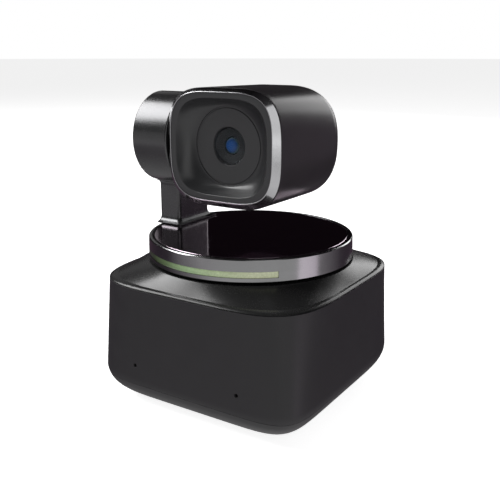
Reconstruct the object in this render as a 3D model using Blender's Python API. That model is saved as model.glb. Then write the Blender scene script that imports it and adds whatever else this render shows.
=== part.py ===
# Desktop pan-tilt camera: a rounded square base, a turntable with a light bar,
# one arm with a tilt motor housing, and a rounded square camera head.
# Frame: origin at the centre of the underside, Z up, the lens faces -Y, the arm
# stands on the -X side.  Lengths below are millimetres; MM turns them to metres.
import bpy, bmesh, math
from mathutils import Vector, Matrix

MM = 0.001
GAP = 0.3                 # clearance left between neighbouring pieces

# ---- base ---------------------------------------------------------------
BASE_HALF = 23.7          # half width at the foot
BASE_TOP_HALF = 24.24     # half width at the top of the wall, it flares a little
BASE_Z0 = 0.4             # underside of the body, the pad stands 0.4 proud
BASE_FILLET = 6.5         # bottom edge radius
SEAM_Z = 5.1              # joint between tray and wall
WALL_TOP = 25.5           # top of the matte wall
BEVEL_TOP = 25.8          # top of the glossy bevel strip
BEVEL_IN = 0.99
WALL_T = 1.7
COVER_Z = 28.55           # flat ring under the turntable
COVER_R = 21.2
COVER_HOLE_R = 9.2
MIC_X, MIC_Z, MIC_R = 12.1, 9.4, 0.35

# ---- turntable ----------------------------------------------------------
TURN_R = 20.98
TURN_Z0, TURN_Z1 = 28.9, 33.5
LED_Z0, LED_Z1 = 30.0, 31.1
LED_HALF_DEG = 46.6
DECK_R = 19.9

# ---- tilt axis, arm, housing --------------------------------------------
TILT_Y, TILT_Z = -1.7, 52.2
HOUS_R = 9.4
HOUS_X0, HOUS_X1 = -21.75, -12.9
ARM_X0, ARM_X1 = -21.73, -16.3
ARM_Y0, ARM_Y1 = -3.05, 7.62
ARM_Z0 = 33.8
ARM_CORNER = 0.5
ARM_FLARE = 1.35

# ---- head ---------------------------------------------------------------
HEAD_LEFT0, HEAD_LEFT1 = -12.26, -12.4
HEAD_RIGHT0, HEAD_RIGHT1 = 13.58, 14.95
HEAD_HALFH0, HEAD_HALFH1 = 11.25, 11.24
HEAD_DROP0, HEAD_DROP1 = 0.28, 0.45   # the shell's centre sits this far under the tilt axis
HEAD_EXP0, HEAD_EXP1 = 3.25, 2.5
HEAD_YF = -12.05          # front plane of the bezel
HEAD_YS = -10.9           # outer edge of the bezel chamfer
HEAD_YR = 7.7             # start of the rear rounding
HEAD_RR = 5.3             # radius of the rear rounding
LENS_X, LENS_Z = 0.66, 52.2

N_BASE = 48
N_HEAD = 40
N_RING = 40

for ob in list(bpy.data.objects):
    bpy.data.objects.remove(ob, do_unlink=True)


# ---- materials ----------------------------------------------------------
def material(name, color, rough, metal=0.0, trans=0.0, emit=None):
    m = bpy.data.materials.new(name)
    m.use_nodes = True
    b = m.node_tree.nodes["Principled BSDF"]
    b.inputs["Base Color"].default_value = (*color, 1.0)
    b.inputs["Roughness"].default_value = rough
    b.inputs["Metallic"].default_value = metal
    if trans:
        b.inputs["Transmission Weight"].default_value = trans
    if emit:
        b.inputs["Emission Color"].default_value = (*emit, 1.0)
        b.inputs["Emission Strength"].default_value = 0.6
    m.diffuse_color = (*color, 1.0)
    return m


# ---- mesh helpers -------------------------------------------------------
def finish(name, bm, mat, angle=32):
    bmesh.ops.recalc_face_normals(bm, faces=bm.faces[:])
    me = bpy.data.meshes.new(name)
    bm.to_mesh(me)
    bm.free()
    me.materials.append(mat)
    ob = bpy.data.objects.new(name, me)
    bpy.context.collection.objects.link(ob)
    for p in me.polygons:
        p.use_smooth = True
    me.set_sharp_from_angle(angle=math.radians(angle))
    return ob


def loft_into(bm, rings, loop=False, cap=True):
    rows = [[bm.verts.new((x * MM, y * MM, z * MM)) for x, y, z in r] for r in rings]
    n = len(rows[0])
    last = len(rows) if loop else len(rows) - 1
    for i in range(last):
        a, b = rows[i], rows[(i + 1) % len(rows)]
        for j in range(n):
            k = (j + 1) % n
            bm.faces.new((a[j], a[k], b[k], b[j]))
    if cap and not loop:
        bm.faces.new(rows[0])
        bm.faces.new(list(reversed(rows[-1])))


def loft(name, rings, mat, loop=False, cap=True):
    bm = bmesh.new()
    loft_into(bm, rings, loop, cap)
    return finish(name, bm, mat)


def gauge(u, v, a, b, k, m):
    du = max(abs(u) - (a - k), 0.0) / k
    dv = max(abs(v) - (b - k), 0.0) / k
    return (du ** m + dv ** m) ** (1.0 / m)


def polar(a, b, k, m, n):
    """Rounded rectangle, half sizes a and b, corner size k, corner exponent m,
    read at n equal angles."""
    k = min(k, a - 1e-3, b - 1e-3)
    out = []
    for i in range(n):
        t = 2 * math.pi * i / n
        c, s = math.cos(t), math.sin(t)
        lo, hi = 0.0, 2.0 * (a + b)
        for _ in range(44):
            mid = 0.5 * (lo + hi)
            if gauge(mid * c, mid * s, a, b, k, m) <= 1.0:
                lo = mid
            else:
                hi = mid
        out.append((lo * c, lo * s))
    return out


def circle(r, n, phase=0.0):
    return [(r * math.cos(2 * math.pi * i / n + phase), r * math.sin(2 * math.pi * i / n + phase))
            for i in range(n)]


def flat(uv, z, cx=0.0, cy=0.0):
    return [(cx + u, cy + v, z) for u, v in uv]


def revolve_z(name, prof, mat, n=N_RING, cx=0.0, cy=0.0):
    """Closed profile of (radius, z) swept once round a vertical axis."""
    return loft(name, [flat(circle(r, n), z, cx, cy) for r, z in prof], mat, loop=True)


def revolve_x(name, prof, mat, cy, cz, n=24):
    return loft(name, [[(x, cy + u, cz + v) for u, v in circle(r, n)] for r, x in prof], mat, loop=True)


def revolve_y(name, prof, mat, cx, cz, n=24):
    return loft(name, [[(cx + u, y, cz + v) for u, v in circle(r, n)] for r, y in prof], mat, loop=True)


def solid_z(bm, prof, n, cx=0.0, cy=0.0):
    """Solid turned piece with no bore, profile given from bottom to top."""
    loft_into(bm, [flat(circle(r, n), z, cx, cy) for r, z in prof])


def solid_x(bm, prof, n, cy, cz):
    loft_into(bm, [[(x, cy + u, cz + v) for u, v in circle(r, n)] for r, x in prof])


def solid_y(bm, prof, n, cx, cz):
    loft_into(bm, [[(cx + u, y, cz + v) for u, v in circle(r, n)] for r, y in prof])


def box_into(bm, x0, x1, y0, y1, z0, z1):
    loft_into(bm, [[(x0, y0, z), (x1, y0, z), (x1, y1, z), (x0, y1, z)] for z in (z0, z1)])


def cut(ob, bm, op='DIFFERENCE', keep_name="cutter"):
    """Apply one exact boolean with the solid in bm and drop the helper."""
    bmesh.ops.recalc_face_normals(bm, faces=bm.faces[:])
    me = bpy.data.meshes.new(keep_name)
    bm.to_mesh(me)
    bm.free()
    tool = bpy.data.objects.new(keep_name, me)
    bpy.context.collection.objects.link(tool)
    mod = ob.modifiers.new("b", 'BOOLEAN')
    mod.operation = op
    mod.solver = 'EXACT'
    mod.object = tool
    bpy.context.view_layer.update()
    dg = bpy.context.evaluated_depsgraph_get()
    new = bpy.data.meshes.new_from_object(ob.evaluated_get(dg))
    ob.modifiers.clear()
    ob.data = new
    bpy.data.objects.remove(tool, do_unlink=True)
    for p in new.polygons:
        p.use_smooth = True
    new.set_sharp_from_angle(angle=math.radians(32))
    return ob


def arc_prism(bm, r0, r1, z0, z1, a0, a1, n):
    """Sector of a ring; the angles run from -Y toward +X, in degrees."""
    rows = []
    for i in range(n + 1):
        t = math.radians(a0 + (a1 - a0) * i / n)
        s, c = math.sin(t), -math.cos(t)
        rows.append([(r0 * s, r0 * c, z0), (r1 * s, r1 * c, z0), (r1 * s, r1 * c, z1), (r0 * s, r0 * c, z1)])
    loft_into(bm, rows)


# ---- colours ------------------------------------------------------------
M_MATTE = material("matte_dark_shell", (0.035, 0.035, 0.038), 0.55)
M_GLOSS = material("gloss_black_cover", (0.012, 0.012, 0.014), 0.12)
M_SATIN = material("satin_arm_paint", (0.05, 0.05, 0.054), 0.28, 0.5)
M_HEAD = material("gloss_head_paint", (0.03, 0.028, 0.032), 0.2, 0.3)
M_BEZEL = material("bezel_polish", (0.10, 0.10, 0.105), 0.12, 0.8)
M_PANEL = material("matte_front_panel", (0.04, 0.041, 0.044), 0.5)
M_RUBBER = material("black_rubber", (0.02, 0.02, 0.02), 0.85)
M_STEEL = material("steel", (0.55, 0.55, 0.56), 0.3, 1.0)
M_BRASS = material("nickel_brass", (0.62, 0.58, 0.48), 0.3, 1.0)
M_ALU = material("aluminium", (0.62, 0.63, 0.64), 0.4, 1.0)
M_PCB = material("board_green", (0.02, 0.12, 0.06), 0.5)
M_COPPER = material("winding_copper", (0.6, 0.28, 0.12), 0.35, 1.0)
M_LED = material("light_bar_green", (0.45, 0.75, 0.35), 0.35, 0.0, 0.0, (0.45, 0.75, 0.30))
M_GLASS = material("lens_glass", (0.6, 0.75, 0.9), 0.03, 0.0, 0.9)
M_BLUE = material("coated_lens", (0.05, 0.18, 0.55), 0.05)
M_CHIP = material("chip_black", (0.03, 0.03, 0.03), 0.4)
M_BARREL = material("barrel_black", (0.02, 0.02, 0.02), 0.45)


# ---- base plan ----------------------------------------------------------
def base_uv(z, inset=0.0):
    """Outline of the base wall at height z, moved inward by inset."""
    h = z - BASE_Z0
    bottom = 0.0
    if h < BASE_FILLET:
        q = (BASE_FILLET - h) / BASE_FILLET
        bottom = BASE_FILLET * (1.0 - math.sqrt(max(0.0, 1.0 - q * q)))
    f = min(1.0, max(0.0, (h - BASE_FILLET) / (WALL_TOP + GAP - BASE_Z0 - BASE_FILLET)))
    a0, a1 = BASE_HALF - bottom - inset, BASE_TOP_HALF - inset
    low = polar(a0, a0, max(23.4 - bottom - inset, 4.0), 7.5, N_BASE)
    if f == 0.0:
        return low
    top = polar(a1, a1, 21.8 - inset, 3.89, N_BASE)
    return [(u0 * (1 - f) + u1 * f, v0 * (1 - f) + v1 * f) for (u0, v0), (u1, v1) in zip(low, top)]


# wall of the base, open above and below
zs = [SEAM_Z + GAP / 2, 6.8, 12.0, 18.5, WALL_TOP]
rings = [flat(base_uv(z), z) for z in zs]
rings += [flat(base_uv(z, WALL_T), z) for z in (WALL_TOP, 15.0, 6.8, SEAM_Z + GAP / 2)]
base_shell = loft("base_shell", rings, M_MATTE, loop=True)
bm = bmesh.new()
for sx in (-1, 1):
    solid_y(bm, [(MIC_R, -25.0), (MIC_R, -20.5)], 10, sx * MIC_X, MIC_Z)
cut(base_shell, bm)
# opening for the power and data socket in the rear wall
USB_Z = 11.1
bm = bmesh.new()
loft_into(bm, [[(u, y, USB_Z + v) for u, v in polar(4.8, 1.95, 1.9, 2.0, 24)] for y in (20.0, 25.0)])
cut(base_shell, bm)

# tray that closes the underside, with the rounded bottom edge
tz = [BASE_Z0, 0.75, 1.4, 2.4, 3.6, SEAM_Z - GAP / 2]
rings = [flat(base_uv(z), z) for z in tz]
rings += [flat(base_uv(SEAM_Z - GAP / 2, WALL_T), SEAM_Z - GAP / 2), flat(base_uv(3.4, WALL_T), 3.4),
          flat(base_uv(2.3, WALL_T + 0.6), 2.3)]
base_tray = loft("base_tray", rings, M_MATTE)
# recess for the foot pad, bore for the tripod insert, four screw holes
PAD_A, PAD_K = 15.6, 9.0
bm = bmesh.new()
loft_into(bm, [flat(polar(PAD_A + GAP, PAD_A + GAP, PAD_K, 2.2, 40), z) for z in (-1.0, 1.1)])
cut(base_tray, bm)
SCREW_P = 12.2
bm = bmesh.new()
solid_z(bm, [(5.6 + GAP, -1.0), (5.6 + GAP, 6.0)], 28)
for sx in (-1, 1):
    for sy in (-1, 1):
        solid_z(bm, [(2.1, 0.5), (2.1, 2.1), (1.2, 2.7), (1.2, 6.0)], 16, sx * SCREW_P, sy * SCREW_P)
cut(base_tray, bm)

# rubber foot pad, 0.4 mm proud of the tray, with a hole for the tripod insert
foot_pad = loft("foot_pad", [flat(polar(PAD_A, PAD_A, PAD_K, 2.2, 40), z) for z in (0.0, 0.8)]
                + [flat(circle(7.6, 40), z) for z in (0.8, 0.0)], M_RUBBER, loop=True)

# tripod insert: flanged, 1/4 inch bore from below
tripod_nut = revolve_z("tripod_nut", [(3.175, 0.45), (5.6, 0.45), (5.6, 2.6), (7.4, 2.6), (7.4, 3.8), (4.9, 3.8),
                                      (4.9, 6.6), (3.175, 6.6)], M_BRASS, 24)

# inner frame: a plate with four posts that the tray screws pull against
FR_Z0, FR_Z1 = 22.4, 23.8
chassis = loft("inner_frame", [flat(polar(19.6, 19.6, 12.0, 3.0, 40), z) for z in (FR_Z0, FR_Z1)]
               + [flat(circle(6.7, 40), z) for z in (FR_Z1, FR_Z0)], M_ALU, loop=True)
bm = bmesh.new()
for sx in (-1, 1):
    for sy in (-1, 1):
        solid_z(bm, [(2.1, 4.3), (2.1, FR_Z0 + 0.7)], 16, sx * SCREW_P, sy * SCREW_P)
cut(chassis, bm, 'UNION')
bm = bmesh.new()
for sx in (-1, 1):
    for sy in (-1, 1):
        solid_z(bm, [(1.15, 3.0), (1.15, 10.0)], 12, sx * SCREW_P, sy * SCREW_P)
cut(chassis, bm)

# four tray screws, each with a head under the tray floor
for i, (sx, sy) in enumerate(((-1, -1), (1, -1), (1, 1), (-1, 1))):
    bm = bmesh.new()
    solid_z(bm, [(1.7, 1.2), (1.7, 1.95), (0.85, 2.4), (0.85, 9.5)], 16, sx * SCREW_P, sy * SCREW_P)
    finish("tray_screw_%d" % (i + 1), bm, M_STEEL)

# main board with a hole for the insert and corner notches for the posts
board = loft("main_board", [flat(polar(18.6, 18.6, 6.0, 2.0, 40), z) for z in (8.0, 9.0)], M_PCB)
bm = bmesh.new()
for sx in (-1, 1):
    for sy in (-1, 1):
        solid_z(bm, [(2.5, 7.0), (2.5, 10.0)], 16, sx * SCREW_P, sy * SCREW_P)
cut(board, bm)

# shield can over the image processor
bm = bmesh.new()
box_into(bm, -7.5, 7.5, -8.5, 5.0, 9.3, 11.0)
processor_shield = finish("processor_shield", bm, M_STEEL)

# USB-C receptacle: oval shell with a tongue, open to the rear
USB_Y0, USB_Y1 = 15.6, 22.7
rings = [[(u, y, USB_Z + v) for u, v in polar(4.47, 1.63, 1.55, 2.0, 24)] for y in (USB_Y0, USB_Y1)]
rings += [[(u, y, USB_Z + v) for u, v in polar(4.17, 1.33, 1.25, 2.0, 24)] for y in (USB_Y1, USB_Y0 + 1.0)]
usb = loft("usb_c_socket", rings, M_STEEL)
bm = bmesh.new()
box_into(bm, -3.34, 3.34, USB_Y0 + 0.5, USB_Y1 - 0.9, USB_Z - 0.35, USB_Z + 0.35)
cut(usb, bm, 'UNION')

# two microphone capsules behind the pin holes
for nm, sx in (("mic_capsule_left", -1), ("mic_capsule_right", 1)):
    bm = bmesh.new()
    solid_y(bm, [(2.0, -21.5), (2.0, -20.2)], 20, sx * MIC_X, MIC_Z)
    finish(nm, bm, M_ALU)

# glossy top cover: bevel strip, slopes up to the turntable seat, centre hole
def cover_mix(t, z):
    sq = polar(BASE_TOP_HALF - BEVEL_IN, BASE_TOP_HALF - BEVEL_IN, 21.33, 3.58, N_BASE)
    ci = circle(COVER_R, N_BASE)
    return [(u0 * (1 - t) + u1 * t, v0 * (1 - t) + v1 * t, z) for (u0, v0), (u1, v1) in zip(sq, ci)]


rings = [flat(base_uv(WALL_TOP), WALL_TOP + GAP)]
for t in (0.0, 0.3, 0.6, 0.85, 1.0):
    rings.append(cover_mix(t, BEVEL_TOP + GAP + (COVER_Z - BEVEL_TOP - GAP) * t))
rings += [flat(circle(COVER_HOLE_R, N_BASE), COVER_Z), flat(circle(COVER_HOLE_R, N_BASE), 26.9),
          flat(circle(19.2, N_BASE), 26.9), flat(base_uv(WALL_TOP, WALL_T + GAP), WALL_TOP + GAP),
          flat(base_uv(WALL_TOP, WALL_T + GAP), 24.3), flat(base_uv(WALL_TOP, WALL_T + GAP + 0.9), 24.3),
          flat(base_uv(WALL_TOP, WALL_T + GAP + 0.9), WALL_TOP + GAP)]
# the lip sits inside the wall: order the rings so that the section stays simple
rings = rings[:1] + rings[1:6] + [rings[6], rings[7]] + [rings[8]] + [rings[12], rings[11], rings[10], rings[9]]
base_cover = loft("base_top_cover", rings, M_GLOSS, loop=True)

# pan drive, fixed half: bearing outer ring and stator
pan_bearing_outer = revolve_z("pan_bearing_outer", [(5.3, 22.5), (6.4, 22.5), (6.4, 25.5), (5.3, 25.5)], M_STEEL, 24)


def toothed(n_teeth, r_root, r_tip, half_deg, n_per=8):
    out = []
    for t in range(n_teeth):
        c = 2 * math.pi * t / n_teeth
        h = math.radians(half_deg)
        g = math.pi / n_teeth
        out += [(r_root, c - g + 0.02), (r_root, c - h), (r_tip, c - h * 1.25), (r_tip, c), (r_tip, c + h * 1.25),
                (r_root, c + h), (r_root, c + g - 0.02)]
    return [(r * math.cos(a), r * math.sin(a)) for r, a in out]


st = toothed(9, 6.2, 9.2, 9.0)
bore = circle(5.2, len(st), -math.pi / 9 + 0.02)
pan_stator = loft("pan_motor_stator", [flat(st, z) for z in (14.6, 20.4)]
                  + [flat(bore, z) for z in (20.4, 14.6)], M_COPPER, loop=True)
# bracket ring that hangs the stator under the frame plate
pan_hanger = revolve_z("pan_stator_hub", [(3.6, 14.0), (4.9, 14.0), (4.9, 20.7), (9.0, 20.7), (9.0, 22.1), (3.6, 22.1)],
                       M_ALU, 24)

# ---- turntable ----------------------------------------------------------
prof = [(8.6, TURN_Z0), (20.85, TURN_Z0), (21.05, 29.1), (TURN_R, 33.25), (20.7, TURN_Z1), (20.2, TURN_Z1),
        (20.2, 32.2), (18.6, 32.2), (18.6, 30.1), (8.6, 30.1)]
skirt = revolve_z("turntable_skirt", prof, M_GLOSS, 56)
bm = bmesh.new()
arc_prism(bm, 19.2, 21.6, LED_Z0 - GAP, LED_Z1 + GAP, -LED_HALF_DEG - 1.0, LED_HALF_DEG + 1.0, 16)
cut(skirt, bm)
SCREW_ARM = [(-17.9, -0.7), (-17.9, 4.4)]
bm = bmesh.new()
for x, y in SCREW_ARM:
    solid_z(bm, [(1.6, 30.2), (1.6, 33.0)], 14, x, y)
cut(skirt, bm)

deck = loft("turntable_deck", [flat(circle(r, 56), z) for r, z in
                               ((6.9, 31.0), (6.9, 32.5), (DECK_R, 32.5), (DECK_R, 33.35), (DECK_R - 0.15, TURN_Z1))], M_GLOSS)
bm = bmesh.new()
for x, y in SCREW_ARM:
    solid_z(bm, [(1.0, 30.0), (1.0, 35.0)], 12, x, y)
cut(deck, bm)

bm = bmesh.new()
arc_prism(bm, 20.05, 20.72, LED_Z0, LED_Z1, -LED_HALF_DEG, LED_HALF_DEG, 24)
led_bar = finish("led_light_bar", bm, M_LED)
bm = bmesh.new()
arc_prism(bm, 19.5, 19.75, LED_Z0, LED_Z1, -LED_HALF_DEG, LED_HALF_DEG, 16)
led_board = finish("led_board", bm, M_PCB)

# pan shaft with flange under the deck, rotor cup, bearing inner ring
pan_shaft = revolve_z("pan_shaft", [(1.6, 12.0), (3.0, 12.0), (3.0, 27.0), (8.2, 27.6), (8.2, 30.6), (1.6, 30.6)],
                      M_ALU, 24)
pan_rotor = revolve_z("pan_motor_rotor", [(3.3, 12.0), (11.2, 12.0), (11.2, 20.2), (9.6, 20.2), (9.6, 13.2), (3.3, 13.2)],
                      M_STEEL, 32)
pan_bearing_inner = revolve_z("pan_bearing_inner", [(3.3, 22.5), (4.4, 22.5), (4.4, 25.5), (3.3, 25.5)], M_STEEL, 24)


# ---- arm with tilt housing ----------------------------------------------
def arm_section(z):
    y0, y1, x0, x1 = ARM_Y0, ARM_Y1, ARM_X0, ARM_X1
    h = z - ARM_Z0
    if h < ARM_FLARE:
        q = 1.0 - h / ARM_FLARE
        f = ARM_FLARE * (1.0 - math.sqrt(max(0.0, 1.0 - q * q)))
        y0, y1, x1 = y0 - f, y1 + f, x1 + f
    zc = TILT_Z - math.sqrt(HOUS_R ** 2 - (ARM_Y0 - TILT_Y) ** 2)
    zf = zc - 1.1
    if z > zf:
        q = min(1.0, (z - zf) / 1.1)
        y0 -= 1.1 - math.sqrt(max(0.0, 1.1 ** 2 - (1.1 * q) ** 2))
    cx, cy = 0.5 * (x0 + x1), 0.5 * (y0 + y1)
    a, b = 0.5 * (x1 - x0), 0.5 * (y1 - y0)
    out = []
    r = ARM_CORNER
    for sx, sy, a0 in ((1, -1, -90), (1, 1, 0), (-1, 1, 90), (-1, -1, 180)):
        for i in range(4):
            t = math.radians(a0 + 30 * i)
            out.append((cx + sx * (a - r) + r * math.cos(t), cy + sy * (b - r) + r * math.sin(t), z))
    return out


zc = TILT_Z - math.sqrt(HOUS_R ** 2 - (ARM_Y0 - TILT_Y) ** 2)
az = [ARM_Z0, ARM_Z0 + 0.15, ARM_Z0 + 0.4, ARM_Z0 + 0.8, 38.0, zc - 1.1, zc - 0.7, zc - 0.35, zc - 0.05, 46.0, TILT_Z]
arm = loft("arm_housing", [arm_section(z) for z in az], M_SATIN)
bm = bmesh.new()
e = 0.45
solid_x(bm, [(HOUS_R - e, HOUS_X0), (HOUS_R - 0.3 * e, HOUS_X0 + 0.3 * e), (HOUS_R, HOUS_X0 + e),
             (HOUS_R, HOUS_X1 - e), (HOUS_R - 0.3 * e, HOUS_X1 - 0.3 * e), (HOUS_R - e, HOUS_X1)], 48, TILT_Y, TILT_Z)
cut(arm, bm, 'UNION')
bm = bmesh.new()
solid_x(bm, [(8.3, HOUS_X0 - 1.0), (8.3, -14.1)], 32, TILT_Y, TILT_Z)
cut(arm, bm)
bm = bmesh.new()
solid_x(bm, [(4.6, -16.0), (4.6, -11.0)], 24, TILT_Y, TILT_Z)
cut(arm, bm)
bm = bmesh.new()
for x, y in SCREW_ARM:
    solid_z(bm, [(1.0, 32.0), (1.0, 39.0)], 12, x, y)
cut(arm, bm)

for i, (x, y) in enumerate(SCREW_ARM):
    bm = bmesh.new()
    solid_z(bm, [(1.3, 30.9), (1.3, 32.1), (0.7, 32.1), (0.7, 38.6)], 14, x, y)
    finish("arm_screw_%d" % (i + 1), bm, M_STEEL)

bm = bmesh.new()
solid_x(bm, [(7.7, -21.35), (8.0, -21.1), (8.0, -20.5)], 36, TILT_Y, TILT_Z)
cap = finish("tilt_housing_cap", bm, M_SATIN)

st = toothed(9, 4.6, 6.3, 9.0)
bore = circle(3.4, len(st), -math.pi / 9 + 0.02)
tilt_stator = loft("tilt_motor_stator", [[(x, TILT_Y + u, TILT_Z + v) for u, v in st] for x in (-19.0, -14.5)]
                   + [[(x, TILT_Y + u, TILT_Z + v) for u, v in bore] for x in (-14.5, -19.0)], M_COPPER, loop=True)
tilt_bearing_outer = revolve_x("tilt_bearing_outer", [(3.5, -14.0), (4.3, -14.0), (4.3, -13.0), (3.5, -13.0)],
                               M_STEEL, TILT_Y, TILT_Z, 24)


# ---- head ---------------------------------------------------------------
def head_uv(y, inset=0.0, n=N_HEAD):
    f = (min(max(y, HEAD_YS), HEAD_YR) - HEAD_YS) / (HEAD_YR - HEAD_YS)
    left = HEAD_LEFT0 + (HEAD_LEFT1 - HEAD_LEFT0) * f
    right = HEAD_RIGHT0 + (HEAD_RIGHT1 - HEAD_RIGHT0) * f
    c = HEAD_HALFH0 + (HEAD_HALFH1 - HEAD_HALFH0) * f
    m = HEAD_EXP0 + (HEAD_EXP1 - HEAD_EXP0) * f
    rear = 0.0
    if y > HEAD_YR:
        q = min(1.0, (y - HEAD_YR) / HEAD_RR)
        rear = HEAD_RR * (1.0 - math.sqrt(max(0.0, 1.0 - q * q)))
    a = 0.5 * (right - left) - inset - rear
    c = c - inset - rear
    return 0.5 * (left + right), TILT_Z - HEAD_DROP0 - (HEAD_DROP1 - HEAD_DROP0) * f, a, c, m, n


def head_ring(y, inset=0.0, ya=None):
    cx, cz, a, c, m, n = head_uv(y, inset)
    yy = y if ya is None else ya
    return [(cx + u, yy, cz + v) for u, v in polar(a, c, c, m, n)]


def front_ring(a, c, m, y):
    return [(LENS_X + u, y, TILT_Z - 0.05 + v) for u, v in polar(a, c, c, m, N_HEAD)]


SHELL_Y0 = HEAD_YS + 2 * GAP
rings = [head_ring(y) for y in (SHELL_Y0, -6.0, 0.0, 4.5, HEAD_YR)]
for d in (20, 40, 58, 74, 90):
    rings.append(head_ring(HEAD_YR + HEAD_RR * math.sin(math.radians(d))))
inner = [head_ring(y, 1.1) for y in (SHELL_Y0, 0.0, 6.8)]
for d in (30, 60, 88):
    y = HEAD_YR + HEAD_RR * math.sin(math.radians(d))
    inner.append(head_ring(y, 1.1, y - 1.1))
bm = bmesh.new()
rings = list(reversed(rings)) + inner
loft_into(bm, rings)
head_shell = finish("head_shell", bm, M_HEAD)
bm = bmesh.new()
solid_x(bm, [(2.5, -15.0), (2.5, -9.0)], 28, TILT_Y, TILT_Z)
cut(head_shell, bm)

bezel = loft("front_bezel", [front_ring(11.62, 10.28, 3.5, HEAD_YF), head_ring(HEAD_YS), head_ring(HEAD_YS, 0, HEAD_YS + GAP),
                             front_ring(11.62, 10.28, 3.5, HEAD_YS + GAP)], M_BEZEL, loop=True)


def dish_mix(t, y):
    sq = polar(10.6, 9.3, 9.29, 3.2, N_HEAD)
    ci = circle(8.0, N_HEAD)
    return [(LENS_X + u0 * (1 - t) + u1 * t, y, TILT_Z - 0.05 + v0 * (1 - t) + v1 * t)
            for (u0, v0), (u1, v1) in zip(sq, ci)]


def ring_y(r, y):
    return [(LENS_X + u, y, TILT_Z - 0.05 + v) for u, v in circle(r, N_HEAD)]


panel = loft("front_panel", [front_ring(11.3, 9.96, 3.5, -11.9), dish_mix(0.0, -11.9), dish_mix(0.25, -11.5),
                             dish_mix(0.6, -10.3), dish_mix(0.9, -9.3), dish_mix(1.0, -9.05), ring_y(3.7, -8.75),
                             ring_y(3.7, -7.7), ring_y(8.3, -7.9), front_ring(10.6, 9.3, 3.3, -9.8),
                             front_ring(11.3, 9.96, 3.5, -10.9)], M_PANEL, loop=True)

bm = bmesh.new()
solid_y(bm, [(3.2, -8.75), (3.4, -8.65), (3.4, -8.4)], 32, LENS_X, TILT_Z - 0.05)
lens_window = finish("lens_window", bm, M_GLASS)

lens_barrel = revolve_y("lens_barrel", [(1.95, -7.8), (3.35, -8.1), (3.35, -7.4), (4.9, -7.4), (4.9, 1.4), (3.2, 1.4),
                                        (3.2, -3.6), (1.95, -4.2)], M_BARREL, LENS_X, TILT_Z - 0.05)
bm = bmesh.new()
prof = [(1.65 * math.cos(math.radians(a)), -7.35 - 0.75 * math.sin(math.radians(a))) for a in (80, 60, 40, 20, 0)]
solid_y(bm, prof + [(1.65, -6.0)], 24, LENS_X, TILT_Z - 0.05)
front_lens = finish("front_lens", bm, M_BLUE)
bm = bmesh.new()
solid_y(bm, [(1.5, -3.4), (2.5, -3.0), (2.9, -2.4), (2.9, -1.2), (2.2, -0.9)], 20, LENS_X, TILT_Z - 0.05)
rear_lens = finish("rear_lens", bm, M_GLASS)

rings = [[(LENS_X + u, y, TILT_Z - 0.05 + v) for u, v in polar(6.6, 6.6, 1.6, 2.0, 28)] for y in (1.8, 4.8)]
rings += [[(LENS_X + u, y, TILT_Z - 0.05 + v) for u, v in circle(3.4, 28)] for y in (4.8, 1.8)]
lens_holder = loft("lens_holder", rings, M_BARREL, loop=True)
bm = bmesh.new()
solid_y(bm, [(2.9, 4.6), (2.9, 5.7)], 4, LENS_X, TILT_Z - 0.05)
image_sensor = finish("image_sensor", bm, M_CHIP)
bm = bmesh.new()
box_into(bm, LENS_X - 8.2, LENS_X + 8.2, 6.0, 6.8, TILT_Z - 6.6, TILT_Z + 6.5)
sensor_board = finish("sensor_board", bm, M_PCB)
bm = bmesh.new()
x0 = LENS_X - 6.4
pts = []
for i in range(6):
    pts += [(x0 + 2.4 * i, 9.6), (x0 + 2.4 * i + 0.8, 9.6)]
    if i < 5:
        pts += [(x0 + 2.4 * i + 0.8, 7.9), (x0 + 2.4 * (i + 1), 7.9)]
pts = [(x0, 7.1)] + pts + [(x0 + 12.8, 7.1)]
loft_into(bm, [[(x, y, z) for x, y in pts] for z in (TILT_Z - 4.6, TILT_Z + 4.5)])
heat_sink = finish("sensor_heat_sink", bm, M_ALU)

# tilt shaft, rotor cup, bearing inner ring, hub flange: they turn with the head
bm = bmesh.new()
solid_x(bm, [(1.9, -20.2), (1.9, -10.6)], 24, TILT_Y, TILT_Z)
tilt_shaft = finish("tilt_shaft", bm, M_STEEL)
tilt_rotor = revolve_x("tilt_motor_rotor", [(2.2, -20.2), (7.9, -20.2), (7.9, -15.2), (6.7, -15.2), (6.7, -19.3), (2.2, -19.3)],
                       M_STEEL, TILT_Y, TILT_Z, 28)
tilt_bearing_inner = revolve_x("tilt_bearing_inner", [(2.2, -14.0), (3.1, -14.0), (3.1, -13.0), (2.2, -13.0)],
                               M_STEEL, TILT_Y, TILT_Z, 24)
bm = bmesh.new()
solid_x(bm, [(4.4, -10.2), (4.4, -9.2)], 24, TILT_Y, TILT_Z)
hub = finish("tilt_hub_flange", bm, M_ALU)


# ---- joints: the pan axis is the Z axis, the tilt axis runs along X -------
pan_axis = bpy.data.objects.new("pan_axis", None)
pan_axis.empty_display_size = 0.01
bpy.context.collection.objects.link(pan_axis)
tilt_axis = bpy.data.objects.new("tilt_axis", None)
tilt_axis.empty_display_size = 0.01
bpy.context.collection.objects.link(tilt_axis)
tilt_axis.parent = pan_axis
tilt_axis.location = (0.0, TILT_Y * MM, TILT_Z * MM)

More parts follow.
